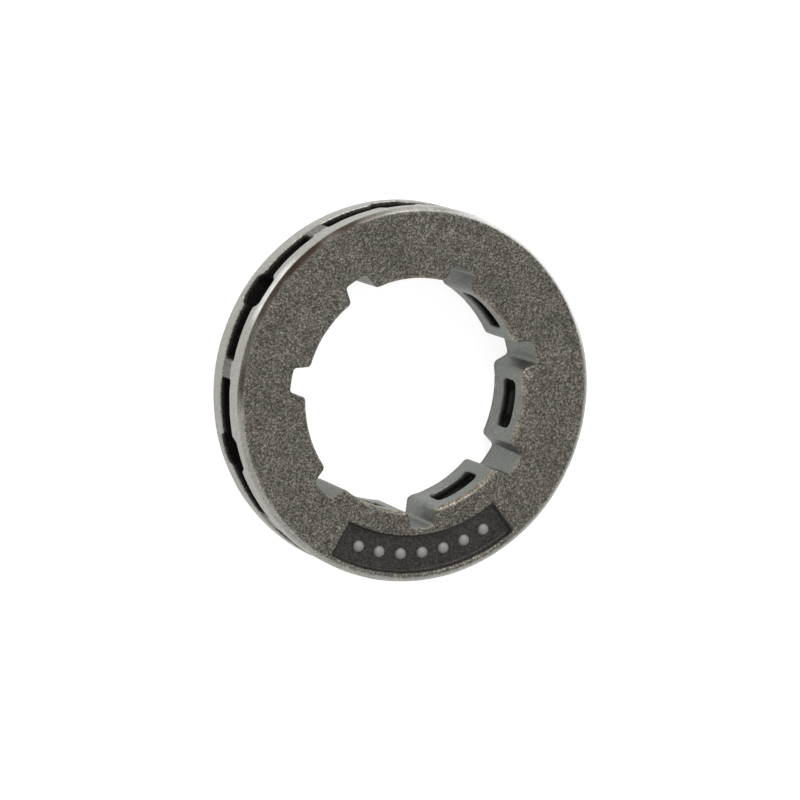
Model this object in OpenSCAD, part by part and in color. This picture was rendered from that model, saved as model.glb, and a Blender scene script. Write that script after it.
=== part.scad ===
// Drive sprocket for a garden saw, of the rim kind: one cast steel ring.
// Its bore slides on a splined hub. The drive links of the chain drop into
// the pockets round its outside, and their tips reach the windows in the bore.
// The ring lies on its back face, with the axis along +Z and the panel towards -Y.

/* [Ring] */
// Diameter over the two flanges that the chain rides on
rim_d = 31.5; // [30:0.5:35]
// Width over the two faces
rim_w = 6.4; // [6:0.1:8]
// Bevel on the outer edges of both faces
edge_bevel = 0.3; // [0.1:0.05:0.4]
// Number of teeth, which is also the number of splines in the bore
teeth = 7; // [6:1:8]

/* [Splined bore] */
// Diameter across the lands between the grooves
land_d = 19.55; // [18.5:0.05:20]
// Diameter across the floors of the grooves
groove_d = 22.45; // [21.5:0.05:23]
// Width of a groove where it opens into the bore
groove_mouth_w = 2.55; // [2:0.05:3]
// Width of a groove at its floor
groove_floor_w = 2; // [1.5:0.05:2.2]
// Rounding where a groove meets the land
land_corner_r = 0.45; // [0.2:0.05:0.6]
// Rounding in the two corners of a groove's floor
floor_corner_r = 0.3; // [0.15:0.05:0.4]
// Bevel on the edges of the lands
bore_bevel = 0.35; // [0.1:0.05:0.5]

/* [Chain pockets] */
// Width of a tooth at the outside of the ring, from pocket to pocket
tooth_w = 1.6; // [1.2:0.1:2.4]
// Width of a pocket along the axis: the drive link and its side play
pocket_w = 2.2; // [1.6:0.1:2.6]
// Shift of the pockets towards the front face
pocket_shift = -0.2; // [-0.3:0.05:0.3]
// How far a tooth's flank is hollowed below a straight line
flank_hollow = 0.3; // [0.1:0.05:0.5]
// Steel between the land and the bottom of a pocket
throat_l = 0.75; // [0.6:0.05:1]
// Ledge at the bottom of a pocket, on each side of the window
ledge = 0.15; // [0.1:0.05:0.3]

/* [Windows in the bore] */
// Length of a window round the land
window_l = 4; // [3:0.1:4.6]
// Width of a window along the axis
window_w = 2.45; // [2:0.05:2.8]
// Shift of the windows towards the front face
window_shift = 0.1; // [-0.3:0.05:0.3]
// Rounding of a window's corners
window_corner_r = 0.5; // [0.2:0.05:0.8]

/* [Chip reliefs] */
// Length of a relief round the ring, in the middle of each pocket
relief_l = 3; // [2:0.1:3.6]
// Width of a relief along the axis
relief_w = 3.8; // [3:0.1:4.2]
// Rounding of a relief's corners
relief_corner_r = 0.55; // [0.2:0.05:0.8]
// Steel left between a relief and the land
relief_web = 1.15; // [0.9:0.05:1.6]

/* [Sunk panel] */
// Inner diameter of the panel in the front face
panel_in_d = 23.7; // [23.4:0.05:25]
// Outer diameter of the panel
panel_out_d = 29.95; // [28:0.05:30]
// Angle that the panel spans
panel_span = 66.4; // [40:0.2:80]
// Depth of the panel's floor below the front face
panel_depth = 0.6; // [0.3:0.05:0.8]

/* [Hidden] */

$fn = 96;
// Overshoot of every cut past the face that it leaves through
past = 1;
// Overlap of a land's rounded corner with the open bore, so that it crosses the land's edge
corner_lap = 0.03;
// Steps in a small rounding, and in a tooth's flank
round_steps = 5;
flank_steps = 8;
// The first tooth stands over the middle of the panel
panel_a = 270;
pitch_a = 360 / teeth;

rim_r = rim_d / 2;
land_r = land_d / 2;
groove_r = groove_d / 2;
mid_z = rim_w / 2;
steel = [0.44, 0.43, 0.4];

function unit(a) = [cos(a), sin(a)];
function dir_a(v) = atan2(v.y, v.x);

// Points on a circle from angle a0 to angle a1
function arc(c, r, a0, a1, steps) =
    [for (i = [0:steps]) c + r * unit(a0 + (a1 - a0) * i / steps)];

// A list of points and its mirror image across the X axis, as one closed outline
function both_sides(half) = concat(
    half, [for (i = [len(half) - 1:-1:0]) [half[i].x, -half[i].y]]);

// A rectangle with rounded corners, centred on the origin
function rounded_rect(w, h, r) = [
    for (q = [0:3])
        each arc([(q == 0 || q == 3 ? 1 : -1) * (w / 2 - r), (q < 2 ? 1 : -1) * (h / 2 - r)],
                 r, q * 90, q * 90 + 90, round_steps)];

// The line of a groove's side, from its half width at the land to that at the floor
side_in = [land_r, groove_mouth_w / 2];
side_out = [groove_r, groove_floor_w / 2];
side_a = dir_a(side_out - side_in);

// Centre of a rounding of radius r that lies on a circle of radius ring_r about the axis
// and touches the groove's side from the steel (sign = 1) or from the groove (sign = -1)
function round_c(ring_r, r, sign) =
    let (off = side_in + sign * r * unit(side_a + 90),
         b = off * unit(side_a),
         c = off * off - ring_r * ring_r)
    off + (sqrt(b * b - c) - b) * unit(side_a);

land_c = round_c(land_r + land_corner_r - corner_lap, land_corner_r, 1);
floor_c = round_c(groove_r - floor_corner_r, floor_corner_r, -1);

// Half the outline of a groove that points along +X: out of the bore, round the land's
// corner, along the side, round the corner of the floor, and along the floor
groove_half = concat(
    [[0, land_c.y], (land_r - past) * unit(dir_a(land_c))],
    arc(land_c, land_corner_r, dir_a(land_c) + 180, side_a + 270, round_steps),
    arc(floor_c, floor_corner_r, side_a + 90, dir_a(floor_c), round_steps),
    [groove_r * unit(dir_a(floor_c) / 3)]);

// Corner of a tooth at the outside of the ring, seen from the middle of the pocket
tip = rim_r * unit(pitch_a / 2 - asin(tooth_w / 2 / rim_r));
root = [land_r + throat_l, window_l / 2 + ledge];

// A tooth's flank, from its tip to its root: a straight line with a parabolic hollow
flank = [
    for (i = [0:flank_steps])
        let (t = i / flank_steps)
        tip + (root - tip) * t + 4 * flank_hollow * t * (1 - t) * unit(dir_a(tip - root) + 90)];

pocket_half = concat([tip + 2 * past * unit(pitch_a / 2)], flank);

// One copy at each tooth, or offset by a share of the pitch
module at_each(offset) {
    for (k = [0:teeth - 1])
        rotate(panel_a + (k + offset) * pitch_a)
            children();
}

// The ring before it is cut: a bevelled section turned about the axis
module blank() {
    rotate_extrude()
        polygon([
            [land_r, bore_bevel], [land_r + bore_bevel, 0],
            [rim_r - edge_bevel, 0], [rim_r, edge_bevel],
            [rim_r, rim_w - edge_bevel], [rim_r - edge_bevel, rim_w],
            [land_r + bore_bevel, rim_w], [land_r, rim_w - bore_bevel]]);
}

module groove() {
    translate([0, 0, -past])
        linear_extrude(rim_w + 2 * past)
            polygon(both_sides(groove_half));
}

// A hole along +X with a rounded outline, from radius r0 to radius r1
module radial_hole(length, width, corner_r, shift, r0, r1) {
    translate([r0, 0, mid_z + shift])
        rotate([90, 0, 90])
            linear_extrude(r1 - r0)
                polygon(rounded_rect(length, width, corner_r));
}

module pocket() {
    translate([0, 0, mid_z + pocket_shift - pocket_w / 2])
        linear_extrude(pocket_w)
            polygon(both_sides(pocket_half));
}

module window() {
    radial_hole(window_l, window_w, window_corner_r, window_shift,
                land_r - past, land_r + throat_l + window_corner_r);
}

module relief() {
    radial_hole(relief_l, relief_w, relief_corner_r, pocket_shift,
                land_r + relief_web, rim_r + past);
}

module panel() {
    reach = rim_r / cos(panel_span / 2) + past;
    translate([0, 0, rim_w - panel_depth])
        linear_extrude(panel_depth + past)
            rotate(panel_a)
                intersection() {
                    difference() {
                        circle(d = panel_out_d);
                        circle(d = panel_in_d);
                    }
                    polygon([[0, 0], reach * unit(-panel_span / 2), reach * unit(panel_span / 2)]);
                }
}

module drive_rim() {
    color(steel)
        difference() {
            blank();
            at_each(0) groove();
            at_each(0.5) pocket();
            at_each(0.5) window();
            at_each(0.5) relief();
            panel();
        }
}

drive_rim();
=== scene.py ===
"""Dresses a cast drive sprocket for a garden chainsaw.

The ring is built as one closed surface over its solid model, with its rounded edges, casting
faults and steel whose colour holds its own tones with painted shade, painted reflections and
painted highlights, and a pale studio is set round it. Lengths are in metres, and every piece
stands in the solid model's own frame: back face on the floor, bore along +Z.
"""

import itertools
import math

import bpy
import numpy as np
from bpy.props import FloatProperty, FloatVectorProperty, IntProperty, PointerProperty
from mathutils import Matrix, Vector


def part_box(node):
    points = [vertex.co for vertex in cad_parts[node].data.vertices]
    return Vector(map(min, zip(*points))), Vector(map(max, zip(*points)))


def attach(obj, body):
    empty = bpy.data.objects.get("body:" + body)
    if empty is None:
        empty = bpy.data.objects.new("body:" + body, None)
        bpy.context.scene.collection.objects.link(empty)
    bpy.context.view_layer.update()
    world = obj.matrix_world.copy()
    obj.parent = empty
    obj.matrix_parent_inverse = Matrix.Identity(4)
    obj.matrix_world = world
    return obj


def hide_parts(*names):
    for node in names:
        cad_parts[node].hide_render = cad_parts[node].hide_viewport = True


bl_info = {
    "name": "Cast Drive Sprocket",
    "version": (1, 0, 0),
    "blender": (4, 5, 0),
    "location": "3D View > Sidebar > Sprocket",
    "description": "Builds a cast drive sprocket with its finish, and a pale studio round it",
    "category": "Object",
}

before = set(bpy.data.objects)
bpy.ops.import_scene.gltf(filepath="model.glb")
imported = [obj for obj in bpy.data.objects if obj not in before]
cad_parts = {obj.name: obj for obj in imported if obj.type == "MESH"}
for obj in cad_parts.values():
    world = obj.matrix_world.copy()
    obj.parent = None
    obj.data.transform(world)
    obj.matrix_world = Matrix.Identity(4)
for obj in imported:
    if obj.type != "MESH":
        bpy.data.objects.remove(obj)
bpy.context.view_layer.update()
LOW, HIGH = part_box("drive_rim")
MM = 0.001


def length(name, description, default):
    """A property that holds a length in metres."""
    return FloatProperty(
        name=name, description=description, default=default, precision=5,
        subtype="DISTANCE", unit="LENGTH")


def angle(name, description, degrees):
    """A property that holds an angle."""
    return FloatProperty(
        name=name, description=description, default=math.radians(degrees), subtype="ANGLE",
        unit="ROTATION")


def colour(name, description, default):
    """A property that holds a linear colour."""
    return FloatVectorProperty(
        name=name, description=description, default=default, size=3, min=0.0, max=1.0,
        subtype="COLOR")


class RimSizes(bpy.types.PropertyGroup):
    """Sizes of the ring, as its solid model has them."""

    teeth: IntProperty(name="Teeth", description="Number of teeth and of splines", default=7)
    radius: length("Outer radius", "Radius of the two flanges", (HIGH.x - LOW.x) / 2)
    width: length("Width", "Width over the two faces", HIGH.z - LOW.z)
    bevel: length("Outer bevel", "Bevel on the outer edges", 0.3 * MM)
    land_radius: length("Land radius", "Radius of the bore's lands", 9.775 * MM)
    groove_radius: length("Groove radius", "Radius of the grooves' floors", 11.225 * MM)
    groove_mouth: length("Groove mouth", "Width of a groove at the land", 2.55 * MM)
    groove_floor: length("Groove floor", "Width of a groove at its floor", 2.0 * MM)
    land_corner: length("Land corner", "Rounding where a groove meets the land", 0.45 * MM)
    floor_corner: length("Floor corner", "Rounding in a groove's corners", 0.3 * MM)
    tooth_width: length("Tooth width", "Width of a tooth at the outside", 1.6 * MM)
    slot_height: length("Pocket width", "Width of a pocket along the axis", 2.2 * MM)
    slot_level: length("Pocket level", "Height of the pockets' middle", 3.0 * MM)
    flank_hollow: length("Flank hollow", "How far a flank bends into its tooth", 0.3 * MM)
    throat: length("Throat", "Steel between the land and a pocket's bottom", 0.75 * MM)
    relief_base: length("Relief base", "Length of a relief where it leaves the slot", 3.1 * MM)
    relief_top: length("Relief top", "Length of a relief at its far end", 2.3 * MM)
    relief_height: length("Relief width", "Width of a relief along the axis", 3.8 * MM)
    window_length: length("Window length", "Length of a window round the land", 4.0 * MM)
    window_height: length("Window width", "Width of a window along the axis", 2.45 * MM)
    window_level: length("Window level", "Height of the windows' middle", 3.3 * MM)
    window_corner: length("Window corner", "Rounding of a window's corners", 0.5 * MM)
    panel_inner: length("Panel inner radius", "Inner radius of the panel", 11.85 * MM)
    panel_outer: length("Panel outer radius", "Outer radius of the panel", 14.975 * MM)
    panel_span: angle("Panel span", "Angle that the panel spans", 66.4)
    panel_depth: length("Panel depth", "Depth of the panel's floor", 0.6 * MM)


class SteelLook(bpy.types.PropertyGroup):
    """Colours of the steel."""

    face: colour("Face", "Blasted steel of the faces", (0.118, 0.11, 0.096))
    # Rubbed steel, its colour painted lighter to stand for its bright reflection
    band: colour("Band", "Rubbed steel of the outside, painted lighter as its reflection", (0.33, 0.325, 0.3))
    bore: colour("Bore", "Steel of the bore", (0.17, 0.18, 0.165))
    # Painted shade: near black, laid deep in the pockets and throats where shade falls
    pocket: colour("Pocket", "Painted shade inside the pockets", (0.012, 0.011, 0.01))
    panel: colour("Panel", "Dark floor of the sunk panel", (0.045, 0.043, 0.04))
    # Brown oxide with a painted dark reflection, on the upper left of the outer bevel
    oxide_and_dark_reflection: colour("Oxide and dark reflection", "Brown oxide and painted dark reflection on the outer bevel", (0.04, 0.026, 0.018))
    lip: colour("Lip", "Lighter front lip of the bore", (0.36, 0.32, 0.26))
    # Painted highlight: near white, on the edges that catch the light
    painted_highlight: colour("Painted highlight", "Painted highlights on the edges", (0.8, 0.8, 0.79))


class StudioLook(bpy.types.PropertyGroup):
    """The camera and the light."""

    lens: FloatProperty(name="Lens", description="Focal length in millimetres", default=180.0)
    key: FloatProperty(name="Key lamp", description="Power of the key lamp in watts", default=1.2)


def unit(turn):
    """Points at these angles on the unit circle."""
    return np.stack([np.cos(turn), np.sin(turn)], -1)


def smooth(low, high, value):
    """0 below low and 1 above high, with the cubic 3 t^2 - 2 t^3 between."""
    t = np.clip((value - low) / (high - low), 0.0, 1.0)
    return t * t * (3.0 - 2.0 * t)


def spread(marks, counts, pull):
    """Places from each mark to the next, which crowd towards the marks.

    A share t of the way becomes t - pull sin(2 pi t) / (2 pi).
    """
    runs = []
    for start, end, count in zip(marks[:-1], marks[1:], counts):
        t = np.arange(count) / count
        runs.append(start + (end - start) * (t - pull * np.sin(2 * np.pi * t) / (2 * np.pi)))
    return np.concatenate([*runs, [marks[-1]]])


def rounded_line(corners, radius, steps):
    """A broken line in the plane, with each inner corner replaced by an arc of that radius.

    The arc's centre lies on the corner's bisector, and its ends are where it touches the
    two sides.
    """
    corners = [np.array(c, float) for c in corners]
    line = [corners[0]]
    for before, corner, after in zip(corners, corners[1:], corners[2:]):
        u = (before - corner) / np.linalg.norm(before - corner)
        v = (after - corner) / np.linalg.norm(after - corner)
        half = math.acos(float(np.clip(u @ v, -1, 1))) / 2
        reach = radius / math.tan(half)
        centre = corner + (u + v) / np.linalg.norm(u + v) * radius / math.sin(half)
        start = corner + u * reach - centre
        end = corner + v * reach - centre
        sweep = math.pi - 2 * half
        for step in range(steps + 1):
            t = step / steps
            line.append(centre + (start * math.sin((1 - t) * sweep) + end * math.sin(t * sweep))
                        / math.sin(sweep))
    line.append(corners[-1])
    return np.array(line)


def box_distance(x, z, half_x, half_z, corner):
    """Distance from the outline of a rectangle with rounded corners, negative inside it."""
    qx = np.abs(x) - half_x + corner
    qz = np.abs(z) - half_z + corner
    outside = np.hypot(np.maximum(qx, 0), np.maximum(qz, 0))
    return outside + np.minimum(np.maximum(qx, qz), 0) - corner


def slot_distance(s, x, z):
    """Distance from the outline of a slot and its relief, x round the rim and z along the axis.

    The relief is the part of a wedge whose sides lean from its base to its top, and it is
    joined to the slot by taking the smaller distance.
    """
    z = z - s.slot_level
    half_slot = s.radius * tooth_side(s)
    slot = box_distance(x, z, half_slot, s.slot_height / 2, 0.15 * MM)
    run = (s.relief_base - s.relief_top) / 2
    rise = (s.relief_height - s.slot_height) / 2
    lean = ((np.abs(x) - s.relief_base / 2) * rise + (np.abs(z) - s.slot_height / 2) * run)
    lean = lean / math.hypot(rise, run)
    far = np.abs(z) - s.relief_height / 2
    soft = 0.25 * MM
    relief = np.maximum(lean, far)
    relief = relief + np.maximum(soft - np.abs(lean - far), 0) ** 2 / (4 * soft)
    return np.minimum(slot, relief)


def window_distance(s, x, z):
    """Distance from the outline of a window, x round the land and z along the axis."""
    return box_distance(
        x, z - s.window_level, s.window_length / 2, s.window_height / 2, s.window_corner)


def edge_height(distance, x, inside, outside):
    """The height at which distance(x, z) is zero for each x, found by halving the span."""
    low = np.full_like(x, inside)
    high = np.full_like(x, outside)
    for _ in range(40):
        middle = (low + high) / 2
        within = distance(x, middle) < 0
        low = np.where(within, middle, low)
        high = np.where(within, high, middle)
    return (low + high) / 2


def eased(distance, radius):
    """Depth of a quarter round of that radius at a distance from the edge it ends in.

    Distances under a tenth of a nanometre count as none, so that strips end in the same
    points.
    """
    gap = radius - np.clip(distance - 1e-10, 0, radius)
    return radius - np.sqrt(radius**2 - gap**2)


def half_pitch(s):
    return math.pi / s.teeth


def tooth_side(s):
    """Angle from the middle of a pocket to the side of the tooth, at the outside."""
    return half_pitch(s) - math.asin(s.tooth_width / 2 / s.radius)


def bore_line(s):
    """Half a pitch of the bore's outline, from the middle of a land to that of a groove.

    It runs along the land's arc, round the land's corner, straight along the groove's side,
    round the floor's corner and along the floor's arc. Returned are its points, with +X
    through the middle of the land, the distance along it, and where its stretches meet.
    """
    steps = np.linspace(0, 1, 60)
    side_in = np.array([s.land_radius, s.groove_mouth / 2])
    side_out = np.array([s.groove_radius, s.groove_floor / 2])
    along = (side_out - side_in) / np.linalg.norm(side_out - side_in)
    across = np.array([-along[1], along[0]])

    def centre(ring_radius, radius):
        off = side_in + radius * across
        b = off @ along
        return off + (math.sqrt(b * b - off @ off + ring_radius**2) - b) * along

    def turn(vector):
        return math.atan2(vector[1], vector[0])

    land = centre(s.land_radius + s.land_corner, s.land_corner)
    floor = centre(s.groove_radius - s.floor_corner, -s.floor_corner)
    side_turn = turn(along)
    runs = [
        s.land_radius * unit(np.interp(steps, [0, 1], [half_pitch(s), turn(land)])),
        land + s.land_corner * unit(np.interp(
            steps, [0, 1], [turn(land) + math.pi, side_turn + 1.5 * math.pi])),
        floor + s.floor_corner * unit(np.interp(
            steps, [0, 1], [side_turn + math.pi / 2, turn(floor)])),
        s.groove_radius * unit(np.interp(steps, [0, 1], [turn(floor), 0])),
    ]
    straight = runs[1][-1] + (runs[2][0] - runs[1][-1]) * steps[:, None]
    runs.insert(2, straight)
    points = np.concatenate([runs[0]] + [run[1:] for run in runs[1:]])
    turns = half_pitch(s) - np.arctan2(points[:, 1], points[:, 0])
    points = np.hypot(points[:, 0], points[:, 1])[:, None] * unit(turns)
    gone = np.concatenate([[0], np.cumsum(np.linalg.norm(np.diff(points, axis=0), axis=1))])
    joins = gone[np.cumsum([len(steps) - 1] * 5)]
    return points, gone, joins


class Columns:
    """The columns of the surface over one pitch, from a groove's middle to the next.

    Each column has its angle outside, its point on the bore's outline with the direction
    into the steel there, and the size of the bore's rounded edge.
    """

    def __init__(self, s):
        points, gone, joins = bore_line(s)
        panel_end = s.panel_span / 2 - half_pitch(s)
        window_side = math.asin(s.window_length / 2 / s.land_radius)
        corner = joins[0] / s.land_radius
        relief = [s.relief_top / 2 / s.radius, s.relief_base / 2 / s.radius]
        marks = [0, *relief, panel_end, window_side, corner, tooth_side(s), half_pitch(s)]
        turn = spread(marks, [6, 4, 4, 6, 8, 15, 7], 0.55)
        land_marks = [mark * s.land_radius for mark in marks[:6]]
        along = spread(land_marks + list(joins[1:]), [6, 4, 4, 6, 8, 6, 6, 5, 5], 0.55)
        tangent = np.gradient(points, gone, axis=0)
        into = np.stack([tangent[:, 1], -tangent[:, 0]], -1)

        def at(values):
            return np.stack([np.interp(along, gone, v) for v in values.T], -1)

        def both(values, sign):
            return np.concatenate([(values * sign)[:0:-1], values])

        flip = np.array([1, -1])
        self.turn = both(turn, -1)
        self.bore = both(at(points), flip)
        into = at(into)
        self.into = both(into / np.linalg.norm(into, axis=1)[:, None], flip)
        past = smooth(joins[0], joins[1], along)
        self.edge = both(0.4 * MM + (0.16 - 0.4) * MM * past, 1)
        middle = len(turn) - 1
        land = slice(middle - 28, middle + 29)
        self.into[land] = unit(self.turn[land])
        self.bore[land] = s.land_radius * self.into[land]
        self.into[[0, -1]] = unit(self.turn[[0, -1]])
        self.bore[[0, -1]] = s.groove_radius * self.into[[0, -1]]
        self.window = slice(middle - 20, middle + 21)
        self.sides = (slice(0, middle - 19), slice(middle + 20, None))
        self.window_side = window_side


def flank_radius(s, turn):
    """Radius of a pocket's flank at each angle from the pocket's middle.

    The flank is the straight line from the tooth's edge to the bottom of the pocket, pushed
    into the tooth by a parabola.
    """
    lip = LIP * MM
    tip = (s.radius - lip) * unit(tooth_side(s))
    root_turn = math.asin(s.window_length / 2 / s.land_radius)
    root = (s.land_radius + s.throat) * unit(root_turn)
    along = (tip - root) / np.linalg.norm(tip - root)
    t = np.linspace(0, 1, 80)[:, None]
    hollow = 4 * s.flank_hollow * t * (1 - t) * np.array([-along[1], along[0]])
    line = root + (tip - root) * t + hollow
    return np.interp(
        np.abs(turn), np.arctan2(line[:, 1], line[:, 0]), np.hypot(line[:, 0], line[:, 1]))


# Rounding of the slots' lips and of the windows' lips, in millimetres
LIP = 0.12
WINDOW_LIP = 0.1
# Rounding where the outer bevel meets the face and the band
BEVEL_SOFT = 0.1
BEVEL_LEAD = 0.15


def raised(flat, height):
    """Points in the plane with a height, as an array of rows, columns and coordinates."""
    height = np.broadcast_to(height, flat.shape[:-1])
    return np.concatenate([flat, height[..., None]], -1)


def rim_pitch(s):
    """The surface of one pitch of the ring, as strips of rows and columns.

    The cross-section's outline is walked outwards over the front face, down the band, in and
    out of the pocket, back over the back face and up the bore, so that every strip faces
    outwards. Where the pocket opens into a window the walk splits in two.
    """
    c = Columns(s)
    ray = unit(c.turn)
    lip, window_lip = LIP * MM, WINDOW_LIP * MM
    arc = s.radius * c.turn
    land_arc = s.land_radius * np.sin(c.turn)
    in_slot = np.minimum(np.abs(c.turn), tooth_side(s)) * (1 - 1e-9)
    strips = []

    def add(name, rows, columns=slice(None)):
        strips.append((name, rows[:, columns]))

    def on_ray(radii, height):
        radii, height = np.broadcast_arrays(radii, height, np.zeros(len(ray)))[:2]
        return raised(radii[..., None] * ray, height)

    def bore_edge(level, sign, size, rows):
        t = np.linspace(0, math.pi / 2, rows)[:, None]
        flat = c.bore + (size * (1 - np.cos(t)))[..., None] * c.into
        return raised(flat, level - sign * size * (1 - np.sin(t)))

    def face(level, size, shares, radii):
        start = c.bore + size[:, None] * c.into
        end = radii[0] * ray
        inner = start + np.asarray(shares)[:, None, None] * (end - start)
        outer = np.asarray(radii)[1:, None, None] * ray
        return raised(np.concatenate([inner, outer]), level)

    # Front face and its edges
    mix = s.panel_inner - 0.12 * MM
    land_edge = s.bevel + BEVEL_LEAD * MM
    offsets = np.array([0.0, 0.06, 0.12, 0.17, 0.22, 0.3]) * MM
    radii = np.concatenate([
        mix + offsets[:-1],
        spread([mix + offsets[-1], s.panel_outer + 0.12 * MM - offsets[-1]], [14], 0.3),
        (s.panel_outer + 0.12 * MM - offsets[:-1])[::-1],
        [s.radius - land_edge]])
    add("edge", bore_edge(s.width, 1, c.edge, 6))
    add("face", face(s.width, c.edge, spread([0, 1], [9], 0.2), radii))
    bevel = rounded_line(
        [[s.radius - land_edge, 0], [s.radius - s.bevel, 0],
         [s.radius, -s.bevel - 0.03 * MM], [s.radius, -land_edge - 0.03 * MM]],
        BEVEL_SOFT * MM, 2)
    add("bevel", on_ray(bevel[:, :1], s.width + bevel[:, 1:]))

    # Band and pocket
    top = edge_height(
        lambda x, z: slot_distance(s, x, z), s.radius * in_slot, s.slot_level, s.width)
    bottom = 2 * s.slot_level - top
    near = np.array([0.35, 0.2, 0.12, 0.07, 0.035, 0.01, 0.0])[:, None] * MM

    def band(start, edge, sign):
        rest = edge + sign * near[0]
        shares = np.linspace(0, 1, 5)[:-1, None]
        height = np.concatenate([start + (rest - start) * shares, edge + sign * near])
        return on_ray(s.radius - eased(slot_distance(s, arc, height), lip), height)

    def rim_floor(height):
        return s.radius - eased(slot_distance(s, arc, height), lip)

    root = s.land_radius + s.throat
    in_pocket = np.abs(c.turn) <= tooth_side(s)
    flank = np.where(in_pocket, flank_radius(s, c.turn), s.radius)
    flank[c.window] = root
    window_top = edge_height(
        lambda x, z: window_distance(s, x, z),
        np.clip(land_arc, -s.window_length / 2, s.window_length / 2) * (1 - 1e-9),
        s.window_level, s.width)
    window_bottom = 2 * s.window_level - window_top
    beside = math.radians(2.5)
    open_share = 1 - smooth(c.window_side - beside, c.window_side, np.abs(c.turn))
    depth = np.array([0, 0.06, 0.16, 0.3, 0.55, 0.9, 1.4, 2.0, 2.7, 3.4, 3.9, 4.3, 4.7])[:, None] * MM
    reach = np.concatenate([s.radius - lip - depth, [[root]]])

    def wall(edge, mouth, window_edge):
        radius = np.maximum(reach, np.where(in_pocket, flank, rim_floor(edge)))
        end = mouth + (window_edge - mouth) * open_share
        kept = smooth(root + 0.1 * MM, root + 0.9 * MM, radius)
        return on_ray(radius, end + (edge - end) * np.where(in_pocket, kept, 1.0))

    slot_top = np.minimum(top, s.slot_level + s.slot_height / 2)
    slot_bottom = 2 * s.slot_level - slot_top
    front_wall = wall(top, slot_top, window_top)
    back_wall = wall(bottom, slot_bottom, window_bottom)
    add("band", band(s.width - land_edge - 0.03 * MM, top, 1))
    add("pocket", front_wall)

    # Floor of the pocket beside the window, which is the band itself on a tooth
    corner_top = s.window_level + s.window_height / 2 - s.window_corner
    corner_bottom = 2 * s.window_level - corner_top
    level_top, level_bottom = s.slot_level + s.slot_height / 2, s.slot_level - s.slot_height / 2
    cuts = spread([level_top, corner_top, corner_bottom, level_bottom], [1, 6, 3], 0)
    shares = ((cuts - level_bottom) / (level_top - level_bottom))[:, None]
    height = slot_bottom + (slot_top - slot_bottom) * shares
    floor = on_ray(np.where(in_pocket, flank, rim_floor(height)), height)
    for side in c.sides:
        add("flank", floor, side)

    # Through the window: a step to its edge, then the throat
    throat = spread([root, s.land_radius + window_lip], [5], 0.2)[:, None]
    step_front = np.stack([front_wall[-1, :, 2], window_top])
    step_back = window_bottom + (back_wall[-1, :, 2] - window_bottom) * np.arange(4)[:, None] / 3
    add("throat", on_ray(root, step_front), c.window)
    add("throat", on_ray(throat, window_top), c.window)
    add("throat", on_ray(throat[::-1], window_bottom), c.window)
    add("throat", on_ray(root, step_back), c.window)
    add("pocket", back_wall[::-1])

    # Band below the pocket, back bevel, back face and back edge of the bore
    add("band", band(land_edge + 0.03 * MM, bottom, -1)[::-1])
    add("bevel", on_ray(bevel[::-1, :1], -bevel[::-1, 1:]))
    back_edge = np.minimum(c.edge, 0.3 * MM)
    back_radii = np.concatenate([[mix], np.linspace(mix, s.radius - land_edge, 6)[1:]])
    add("back", face(0.0, back_edge, np.linspace(0, 1, 5), back_radii)[::-1])
    add("edge", bore_edge(0.0, -1, back_edge, 5)[::-1])

    # Bore wall, with the windows' lips rounded into it
    def bore(height):
        sunk = eased(window_distance(s, land_arc, height), window_lip)
        return raised(c.bore + sunk[..., None] * c.into, height)

    lips = np.array([0, 0.02, 0.05, 0.1, 0.2])[:, None] * MM
    shares = np.linspace(0, 1, 7)[1:, None]
    lower = np.concatenate([
        back_edge + (window_bottom - lips[-1] - back_edge) * np.linspace(0, 1, 6)[:-1, None],
        window_bottom - lips[::-1]])
    upper = np.concatenate([
        window_top + lips,
        window_top + lips[-1] + (s.width - c.edge - window_top - lips[-1]) * shares])
    add("bore", bore(lower))
    middle = np.broadcast_to(cuts[1:8][::-1, None], (7, len(c.turn)))
    for side in c.sides:
        add("bore", bore(middle), side)
    add("bore", bore(upper))

    # Side walls of the window
    for index, order in ((c.window.start, -1), (c.window.stop - 1, 1)):
        radii = throat[::-order, 0] if order == 1 else throat[:, 0]
        grid = raised(
            radii[None, :, None] * ray[index] * np.ones((7, 1, 1)), cuts[1:8][:, None])
        strips.append(("throat", grid))
    return strips


def strip_faces(rows, columns):
    """The four corners of each face of a grid, in the order that faces outwards."""
    index = np.arange(rows * columns).reshape(rows, columns)
    corners = [index[:-1, :-1], index[1:, :-1], index[1:, 1:], index[:-1, 1:]]
    return np.stack([c.ravel() for c in corners], -1)


def panel_depth(s, points):
    """Depth of the sunk panel at each point of the front face.

    The distance into the panel is the least of the distances to its two arcs and its two
    ends, and the depth follows it through two quarter rounds and a steep wall.
    """
    radius = np.hypot(points[:, 0], points[:, 1])
    turn = np.arctan2(-points[:, 0], -points[:, 1])
    side = (s.panel_span / 2 - np.abs(turn)) * radius
    into = np.minimum(np.minimum(radius - s.panel_inner, s.panel_outer - radius), side)
    return s.panel_depth * smooth(-0.09 * MM, 0.12 * MM, into)


def weld(points, faces, marks):
    """Points that lie on each other become one, and faces keep only their own corners."""
    key = np.round(points / (0.0002 * MM)).astype(np.int64)
    _, first, inverse = np.unique(key, axis=0, return_index=True, return_inverse=True)
    faces = inverse.ravel()[faces]
    same = faces == np.roll(faces, -1, axis=1)
    quads = faces[same.sum(1) == 0]
    folded = faces[same.sum(1) == 1]
    keep = ~same[same.sum(1) == 1]
    triangles = folded[keep].reshape(-1, 3)
    quads = quads[(quads[:, 0] != quads[:, 2]) & (quads[:, 1] != quads[:, 3])]
    triangles = triangles[triangles[:, 0] != triangles[:, 2]]
    return points[first], quads, triangles, {name: m[first] for name, m in marks.items()}


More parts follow.
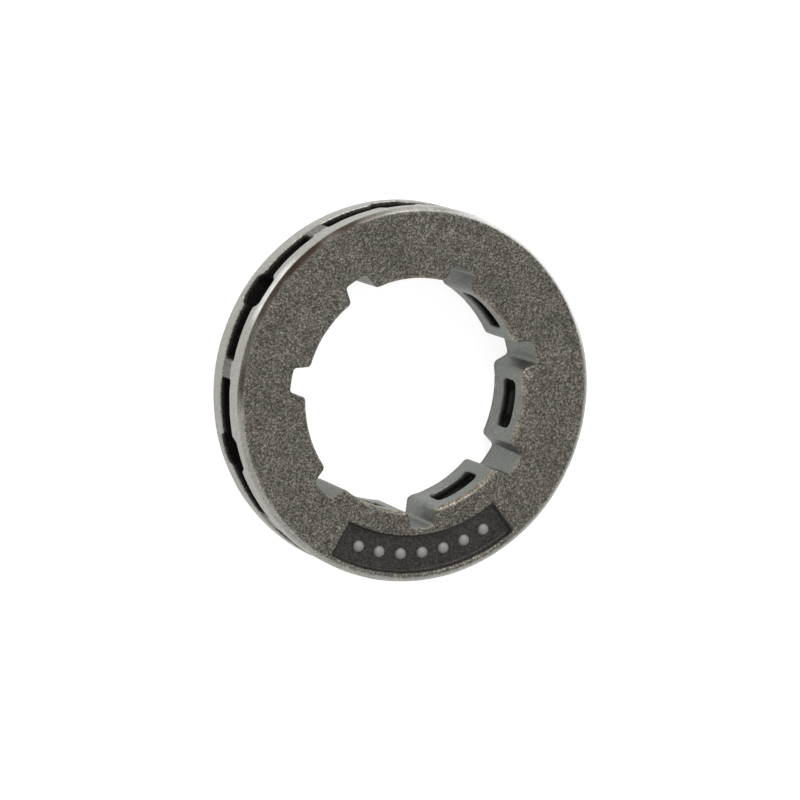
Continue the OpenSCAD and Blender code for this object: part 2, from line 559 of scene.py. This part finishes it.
def rim_surface(s):
    """The whole ring: its pitches turned into place, the panel sunk, and all of it welded."""
    strips = rim_pitch(s)
    zones = sorted({name for name, _ in strips})
    points, faces, zone = [], [], []
    count = 0
    for tooth in range(s.teeth):
        ray = unit(np.array(-math.pi / 2 + (2 * tooth + 1) * half_pitch(s)))
        turned = np.array([[ray[0], ray[1], 0], [-ray[1], ray[0], 0], [0, 0, 1]])
        for name, grid in strips:
            placed = grid.reshape(-1, 3) @ turned
            if name in ("face", "edge"):
                front = placed[:, 2] > s.width - 0.001 * MM
                placed[:, 2] -= np.where(front, panel_depth(s, placed), 0)
            points.append(placed)
            faces.append(strip_faces(*grid.shape[:2]) + count)
            zone.append(np.full(len(placed), zones.index(name)))
            count += len(placed)
    zone = np.concatenate(zone)
    marks = {name: (zone == index).astype(float) for index, name in enumerate(zones)}
    return weld(np.concatenate(points), np.concatenate(faces), marks)


def neighbours(quads, triangles):
    """Every edge of the faces, once in each direction."""
    pairs = [np.stack([f[:, k], f[:, (k + 1) % f.shape[1]]], -1)
             for f in (quads, triangles) for k in range(f.shape[1])]
    pairs = np.concatenate(pairs)
    return np.concatenate([pairs, pairs[:, ::-1]])


def relax(values, pairs, rounds, share):
    """Moves each value a share of the way to the mean of its neighbours, several times."""
    count = len(values)
    weight = np.bincount(pairs[:, 0], minlength=count)
    flat = values.reshape(count, -1).copy()
    for _ in range(rounds):
        total = np.stack([
            np.bincount(pairs[:, 0], flat[pairs[:, 1], k], count) for k in range(flat.shape[1])], -1)
        flat += share * (total / weight[:, None] - flat)
    return flat.reshape(values.shape)


def normals(points, quads, triangles):
    """Direction out of the surface at each point: the sum of its faces' area vectors."""
    total = np.zeros_like(points)
    for faces in (quads, triangles):
        first, last = points[faces[:, 0]], points[faces[:, 2]]
        across = points[faces[:, 3]] - points[faces[:, 1]] if faces.shape[1] == 4 else None
        if across is None:
            area = np.cross(points[faces[:, 1]] - first, last - first)
        else:
            area = np.cross(last - first, across)
        for k in range(faces.shape[1]):
            for axis in range(3):
                total[:, axis] += np.bincount(faces[:, k], area[:, axis], len(points))
    return total / np.linalg.norm(total, axis=1)[:, None]


def lumps(points, size, seed):
    """Smooth random heights from -1 to 1 at each point.

    Random values on a lattice of that size are blended by the cubic step along each axis.
    """
    cell = points / size
    base = np.floor(cell).astype(int)
    low = base.min(0)
    values = np.random.default_rng(seed).uniform(-1, 1, base.max(0) - low + 2)
    t = smooth(0, 1, cell - base)
    total = np.zeros(len(points))
    for corner in itertools.product((0, 1), repeat=3):
        weight = np.prod(np.where(corner, t, 1 - t), axis=1)
        total += weight * values[tuple((base - low + corner).T)]
    return total


def roughen(points, out, marks):
    """Height of the casting's uneven skin: three sizes of lumps, coarser on the faces."""
    coarse = np.clip(marks["face"] + 0.5 * marks["edge"] + 0.4 * marks["back"], 0.25, 1)
    height = 0.018 * lumps(points, 2.6 * MM, 11)
    height += 0.012 * lumps(points, 0.9 * MM, 12)
    height += coarse * 0.012 * lumps(points, 0.38 * MM, 13)
    return points + out * (height * MM)[:, None]


# Casting faults of the front face: place along X and Y, radius and height, in millimetres
FAULTS = (
    (-4.3, 9.85, 0.75, -0.3), (10.35, 1.0, 0.75, -0.45), (-5.6, -13.6, 0.3, -0.18),
    (-3.3, -14.3, 0.25, -0.15), (-2.3, -10.6, 0.35, -0.15), (10.2, -1.6, 0.35, 0.12),
    (-8.2, -6.4, 0.45, 0.16))


def scar(points, marks):
    """Lowers the front face at each pit and lifts it at each bump, as a cosine bell."""
    on_face = np.clip(marks["face"] + marks["edge"], 0, 1) * (points[:, 2] > 5.9 * MM)
    lift = np.zeros(len(points))
    for x, y, reach, height in FAULTS:
        away = np.hypot(points[:, 0] - x * MM, points[:, 1] - y * MM) / (reach * MM)
        lift += height * MM * (0.5 + 0.5 * np.cos(np.pi * np.minimum(away, 1)))
    lift = np.minimum(lift * on_face, HIGH.z - points[:, 2] + 0.1 * MM)
    return points + np.stack([0 * lift, 0 * lift, lift], -1)


def pip_row(s):
    """Seven low round pips in an arc on the panel's floor, each a closed dome.

    A pip is a profile turned about its own axis: it leaves the floor steeply, and its top is
    the cap of a ball. Its foot lies under the floor.
    """
    rise = np.radians([-90, -40, 0, 25, 50, 72, 90])
    turns = np.linspace(0, 2 * np.pi, 24, endpoint=False)
    across = PIP_RADIUS * MM * np.cos(rise)
    up = np.where(rise < 0, 0.3, 1.0) * PIP_HEIGHT * MM * np.sin(rise)
    dome = np.stack([
        across[:, None] * np.cos(turns), across[:, None] * np.sin(turns),
        np.broadcast_to(up[:, None], (len(rise), len(turns)))], -1)
    middle = (s.panel_inner + s.panel_outer) / 2
    index = np.arange(len(rise) * len(turns)).reshape(len(rise), -1)
    corners = [index[:-1], np.roll(index[:-1], -1, 1), np.roll(index[1:], -1, 1), index[1:]]
    faces = np.stack([c.ravel() for c in corners], -1)
    points, quads = [], []
    for place in np.linspace(-1, 1, 7):
        turn = -math.pi / 2 + place * PIP_SPAN / 2
        foot = [middle * math.cos(turn), middle * math.sin(turn), s.width - s.panel_depth]
        quads.append(faces + len(points) * index.size)
        points.append(dome.reshape(-1, 3) + foot)
    marks = {"face": np.ones(len(points) * index.size)}
    return weld(np.concatenate(points), np.concatenate(quads), marks)[:3]


# Size of the pips in millimetres, the angle of their row, and their share of the lip colour
PIP_RADIUS = 0.5
PIP_HEIGHT = 0.35
PIP_SPAN = math.radians(50)
PIP_SHADE = 0.26


def around(turn, centre, half, soft):
    """1 within an angle of half from a direction, fading to 0 over soft on each side."""
    away = np.abs((turn - math.radians(centre) + math.pi) % (2 * math.pi) - math.pi)
    return 1 - smooth(math.radians(half - soft), math.radians(half + soft), away)


def paint(s, look, points, marks):
    """Colour, roughness and grain of the steel at each point.

    The colours of the zones are laid over each other, each with its own share: the band, painted
    lighter as a reflection, and the bore over the face, then painted shade in the hollows, brown
    oxide with a painted dark reflection and painted highlights on the edges.
    """
    radius = np.hypot(points[:, 0], points[:, 1])
    turn = np.arctan2(points[:, 1], points[:, 0])
    low = points[:, 2]
    patch = lumps(points, 1.7 * MM, 21)
    fleck = lumps(points, 0.45 * MM, 22)
    tint = np.tile(np.array(look.face), (len(points), 1))
    rough = np.full(len(points), 0.5)
    grain = np.full(len(points), 1.0)

    def lay(share, colour, roughness, graininess):
        share = np.clip(share, 0, 1)
        tint[:] += share[:, None] * (np.array(colour) - tint)
        rough[:] += share * (roughness - rough)
        grain[:] += share * (graininess - grain)

    bore = np.clip(marks["bore"] + marks["throat"], 0, 1)
    # The band and the bevels: rubbed steel with a painted reflection that makes them lighter
    lay(marks["band"] + marks["bevel"], look.band, 0.42, 0.3)
    lay(bore, look.bore, 0.45, 0.35)
    # Painted shade: the pockets, their flanks and the throats turn near black deeper in
    hollow = np.clip(marks["pocket"] + marks["flank"], 0, 1)
    lay(hollow * smooth(0.02 * MM, 0.3 * MM, s.radius - LIP * MM - radius), look.pocket, 0.6, 0.5)
    lay(marks["throat"] * smooth(0.1 * MM, 0.4 * MM, radius - s.land_radius), look.pocket, 0.6, 0.5)
    sunk = s.width - low
    in_panel = marks["face"] * (radius > s.panel_inner - 0.2 * MM) * (sunk > 0.06 * MM)
    lay(in_panel * smooth(0.06 * MM, 0.4 * MM, sunk), look.panel, 0.55, 0.6)
    front = smooth(0.6 * s.width, 0.8 * s.width, low)
    rim = smooth(s.radius - 0.46 * MM, s.radius - 0.32 * MM, radius) * front
    rim *= 1 - smooth(0.3 * MM, 0.5 * MM, sunk)
    # Painted dark reflection with brown oxide on the upper left of the outer bevel's rim
    lay(rim * around(turn, 136, 40, 8) * (0.85 + 0.35 * patch), look.oxide_and_dark_reflection, 0.5, 0.4)
    # Painted highlight on the upper right of the outer bevel
    lay(rim * around(turn, 41, 28, 10), look.painted_highlight, 0.3, 0.1)
    # Painted highlight on the band just behind its front edge, at the upper left
    band_highlight = front * (marks["band"] + marks["bevel"]) * smooth(0.35 * MM, 0.5 * MM, sunk)
    band_highlight *= 1 - smooth(1.1 * MM, 1.4 * MM, sunk)
    lay(band_highlight * around(turn, 140, 10, 5) * (0.7 + 0.4 * fleck), look.painted_highlight, 0.35, 0.1)
    # The bore's front lip is coloured lighter and browner than the face
    land_lip = marks["edge"] * front * smooth(0.02 * MM, 0.12 * MM, sunk)
    lay(land_lip * (0.5 + 0.3 * fleck), look.lip, 0.45, 0.6)
    return tint, rough, grain


def fill_mesh(name, points, quads, triangles):
    """A mesh object from arrays of points and faces, shaded smoothly."""
    mesh = bpy.data.meshes.new(name)
    corners = np.concatenate([quads.ravel(), triangles.ravel()])
    sizes = np.concatenate([np.full(len(quads), 4), np.full(len(triangles), 3)])
    mesh.vertices.add(len(points))
    mesh.vertices.foreach_set("co", points.astype(np.float32).ravel())
    mesh.loops.add(len(corners))
    mesh.loops.foreach_set("vertex_index", corners.astype(np.int32))
    mesh.polygons.add(len(sizes))
    starts = np.concatenate([[0], np.cumsum(sizes)[:-1]])
    mesh.polygons.foreach_set("loop_start", starts.astype(np.int32))
    mesh.polygons.foreach_set("use_smooth", np.ones(len(sizes), bool))
    mesh.update(calc_edges=True)
    mesh.validate()
    piece = bpy.data.objects.new(name, mesh)
    bpy.context.scene.collection.objects.link(piece)
    return piece


def add_mark(piece, name, values):
    """Stores a number or a colour for each point, for the materials to read."""
    if values.ndim == 1:
        attribute = piece.data.attributes.new(name, "FLOAT", "POINT")
        attribute.data.foreach_set("value", values.astype(np.float32))
        return
    attribute = piece.data.attributes.new(name, "FLOAT_COLOR", "POINT")
    values = np.concatenate([values, np.ones((len(values), 1))], -1)
    attribute.data.foreach_set("color", values.astype(np.float32).ravel())


class SPROCKET_OT_rim(bpy.types.Operator):
    """Build the cast ring over its solid"""

    bl_idname = "sprocket.rim"
    bl_label = "Cast Ring"

    def execute(self, context):
        s = context.scene.rim_sizes
        points, quads, triangles, marks = rim_surface(s)
        pairs = neighbours(quads, triangles)
        points = relax(points, pairs, 2, 0.5)
        points = scar(points, marks)
        out = normals(points, quads, triangles)
        points = roughen(points, out, marks)
        piece = fill_mesh("cast_ring", points, quads, triangles)
        marks = {name: relax(mark, pairs, 1, 0.5) for name, mark in marks.items()}
        tint, rough, grain = paint(s, context.scene.steel_look, points, marks)
        add_mark(piece, "tint", tint)
        add_mark(piece, "rough", rough)
        add_mark(piece, "grain", grain)
        piece.data.materials.append(cast_steel())
        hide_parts("drive_rim")
        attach(piece, "root")
        return {"FINISHED"}


class SPROCKET_OT_pips(bpy.types.Operator):
    """Set a row of low round pips on the sunk panel's floor"""

    bl_idname = "sprocket.pips"
    bl_label = "Panel Pips"

    def execute(self, context):
        look = context.scene.steel_look
        points, quads, triangles = pip_row(context.scene.rim_sizes)
        piece = fill_mesh("panel_pips", points, quads, triangles)
        add_mark(piece, "tint", np.tile(np.array(look.lip) * PIP_SHADE, (len(points), 1)))
        add_mark(piece, "rough", np.full(len(points), 0.5))
        add_mark(piece, "grain", np.full(len(points), 0.7))
        piece.data.materials.append(bpy.data.materials["cast_steel"])
        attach(piece, "root")
        return {"FINISHED"}


class Nodes:
    """Adds nodes to a material and links them."""

    def __init__(self, tree):
        self.tree = tree

    def add(self, kind, inputs=None, **settings):
        node = self.tree.nodes.new(kind)
        for name, value in settings.items():
            setattr(node, name, value)
        for name, value in (inputs or {}).items():
            if isinstance(value, bpy.types.NodeSocket):
                self.tree.links.new(value, node.inputs[name])
            else:
                node.inputs[name].default_value = value
        return node

    def attribute(self, name, output="Fac"):
        return self.add("ShaderNodeAttribute", attribute_name=name).outputs[output]

    def math(self, operation, first, second=0.0, third=0.0):
        inputs = {0: first, 1: second, 2: third}
        return self.add("ShaderNodeMath", inputs, operation=operation).outputs[0]

    def noise(self, place, size, detail=0.0, roughness=0.5):
        """Noise with lumps of that size."""
        inputs = {"Vector": place, "Scale": 1 / size, "Detail": detail, "Roughness": roughness}
        return self.add("ShaderNodeTexNoise", inputs).outputs["Fac"]

    def ramp(self, value, low, high, start=0.0, end=1.0):
        """The value's span from low to high, mapped on the span from start to end."""
        inputs = {"Value": value, "From Min": low, "From Max": high, "To Min": start, "To Max": end}
        return self.add("ShaderNodeMapRange", inputs).outputs["Result"]

    def mix(self, share, first, second, blend="MIX"):
        node = self.add("ShaderNodeMix", data_type="RGBA", blend_type=blend)
        for socket, value in zip((node.inputs[0], node.inputs[6], node.inputs[7]),
                                 (share, first, second)):
            if isinstance(value, bpy.types.NodeSocket):
                self.tree.links.new(value, socket)
            else:
                socket.default_value = value
        return node.outputs[2]


def cast_steel():
    """Blasted cast steel: the painted zones with a fine salt and pepper grain."""
    material = bpy.data.materials.new("cast_steel")
    material.use_nodes = True
    shader = material.node_tree.nodes["Principled BSDF"]
    nodes = Nodes(material.node_tree)
    place = nodes.add("ShaderNodeTexCoord").outputs["Object"]
    grain = nodes.attribute("grain")
    fine = nodes.noise(place, 0.15 * MM, 1.0, 0.6)
    middle = nodes.noise(place, 0.5 * MM, 1.0)
    broad = nodes.noise(place, 3.0 * MM, 1.0)
    level = nodes.math("ADD", nodes.ramp(fine, 0.3, 0.7, -1.0, 1.0),
                       nodes.ramp(middle, 0.3, 0.7, -0.18, 0.18))
    level = nodes.math("ADD", level, nodes.ramp(broad, 0.3, 0.7, -0.12, 0.12))
    level = nodes.math("MULTIPLY", level, nodes.math("MULTIPLY", grain, 0.85))
    level = nodes.math("EXPONENT", level)
    warm = nodes.mix(nodes.ramp(nodes.noise(place, 0.3 * MM), 0.35, 0.65),
                     (1.04, 0.99, 0.98, 1), (0.97, 1.01, 0.99, 1))
    colour = nodes.mix(1.0, nodes.attribute("tint", "Color"), warm, "MULTIPLY")
    scaled = nodes.add("ShaderNodeVectorMath", {0: colour, "Scale": level}, operation="SCALE")
    bump = nodes.add("ShaderNodeBump", {
        "Height": nodes.math("MULTIPLY", fine, grain), "Strength": 0.6, "Distance": 0.03 * MM})
    links = material.node_tree.links
    links.new(scaled.outputs[0], shader.inputs["Base Color"])
    links.new(nodes.attribute("rough"), shader.inputs["Roughness"])
    links.new(bump.outputs[0], shader.inputs["Normal"])
    shader.inputs["Metallic"].default_value = 0.85
    return material


# Place of the camera in millimetres, and its right, up and back directions as columns
CAMERA_PLACE = (-124.5032, 58.92824, 308.24289)
CAMERA_AXES = (
    (0.92175944, 0.11197603, -0.37124238),
    (-0.04752041, 0.98280101, 0.17844883),
    (0.38483938, -0.1468453, 0.91122725))
# Half the side of the floor, and its depth under the ring
FLOOR_REACH = 2.0
FLOOR_GAP = 0.05 * MM


def seen(nodes):
    """1 for camera, glossy and transmission rays, and 0 for the rays that light things."""
    path = nodes.add("ShaderNodeLightPath").outputs
    total = nodes.math("ADD", path["Is Camera Ray"], path["Is Glossy Ray"])
    total = nodes.math("ADD", total, path["Is Transmission Ray"])
    return nodes.math("MINIMUM", total, 1.0)


def studio_world():
    """A pale room, which shows as plain white."""
    world = bpy.data.worlds.new("studio")
    world.use_nodes = True
    nodes = Nodes(world.node_tree)
    background = world.node_tree.nodes["Background"]
    background.inputs["Color"].default_value = (1, 1, 1, 1)
    strength = nodes.ramp(seen(nodes), 0.0, 1.0, 0.65, 0.9)
    world.node_tree.links.new(strength, background.inputs["Strength"])
    return world


def pale_floor():
    """A white floor that glows a little to the eye, so that only the deeper shadow shows."""
    material = bpy.data.materials.new("pale_floor")
    material.use_nodes = True
    nodes = Nodes(material.node_tree)
    shader = material.node_tree.nodes["Principled BSDF"]
    shader.inputs["Base Color"].default_value = (0.5, 0.5, 0.5, 1)
    shader.inputs["Roughness"].default_value = 1.0
    shader.inputs["Specular IOR Level"].default_value = 0.0
    shader.inputs["Emission Color"].default_value = (1, 1, 1, 1)
    glow = nodes.math("MULTIPLY", seen(nodes), 0.82)
    material.node_tree.links.new(glow, shader.inputs["Emission Strength"])
    return material


def add_lamp(name, direction, distance, size, power):
    """A square lamp at that distance and direction from the ring, which it faces."""
    lamp = bpy.data.lights.new(name, "AREA")
    lamp.shape = "SQUARE"
    lamp.size = size
    lamp.energy = power
    holder = bpy.data.objects.new(name, lamp)
    bpy.context.scene.collection.objects.link(holder)
    away = Vector(direction).normalized()
    holder.location = away * distance
    holder.rotation_euler = away.to_track_quat("Z", "Y").to_euler()
    return holder


class SPROCKET_OT_studio(bpy.types.Operator):
    """Set the floor, the light and the camera"""

    bl_idname = "sprocket.studio"
    bl_label = "Studio"

    def execute(self, context):
        scene = context.scene
        studio = scene.studio_look
        scene.view_settings.view_transform = "Standard"
        camera = bpy.data.objects.new("camera", bpy.data.cameras.new("camera"))
        scene.collection.objects.link(camera)
        scene.camera = camera
        camera.data.lens = studio.lens
        camera.data.sensor_width = 36.0
        camera.data.clip_start = 0.01
        camera.matrix_world = (
            Matrix.Translation(Vector(CAMERA_PLACE) * MM) @ Matrix(CAMERA_AXES).to_4x4())
        scene.world = studio_world()
        add_lamp("key", (0.1, 0.78, 0.62), 0.45, 0.3, studio.key)
        corners = FLOOR_REACH * np.array([[-1, -1, 0], [1, -1, 0], [1, 1, 0], [-1, 1, 0]], float)
        floor = fill_mesh("floor", corners - [0, 0, FLOOR_GAP], np.array([[0, 1, 2, 3]]),
                          np.zeros((0, 3), int))
        floor.data.materials.append(pale_floor())
        return {"FINISHED"}


class SPROCKET_PT_panel(bpy.types.Panel):
    """Lists the sizes, the colours and the steps"""

    bl_label = "Cast Drive Sprocket"
    bl_idname = "SPROCKET_PT_panel"
    bl_space_type = "VIEW_3D"
    bl_region_type = "UI"
    bl_category = "Sprocket"

    def draw(self, context):
        for name in ("rim_sizes", "steel_look", "studio_look"):
            group = getattr(context.scene, name)
            box = self.layout.box()
            for setting in group.bl_rna.properties:
                if setting.identifier not in ("name", "rna_type"):
                    box.prop(group, setting.identifier)
        for operator in ("sprocket.studio", "sprocket.rim", "sprocket.pips"):
            self.layout.operator(operator)


CLASSES = (
    RimSizes, SteelLook, StudioLook, SPROCKET_OT_studio, SPROCKET_OT_rim, SPROCKET_OT_pips,
    SPROCKET_PT_panel)


def register():
    for cls in CLASSES:
        bpy.utils.register_class(cls)
    bpy.types.Scene.rim_sizes = PointerProperty(type=RimSizes)
    bpy.types.Scene.steel_look = PointerProperty(type=SteelLook)
    bpy.types.Scene.studio_look = PointerProperty(type=StudioLook)


def unregister():
    del bpy.types.Scene.studio_look
    del bpy.types.Scene.steel_look
    del bpy.types.Scene.rim_sizes
    for cls in reversed(CLASSES):
        bpy.utils.unregister_class(cls)


def main():
    register()
    bpy.ops.sprocket.studio()
    bpy.ops.sprocket.rim()
    bpy.ops.sprocket.pips()


if __name__ == "__main__":
    main()
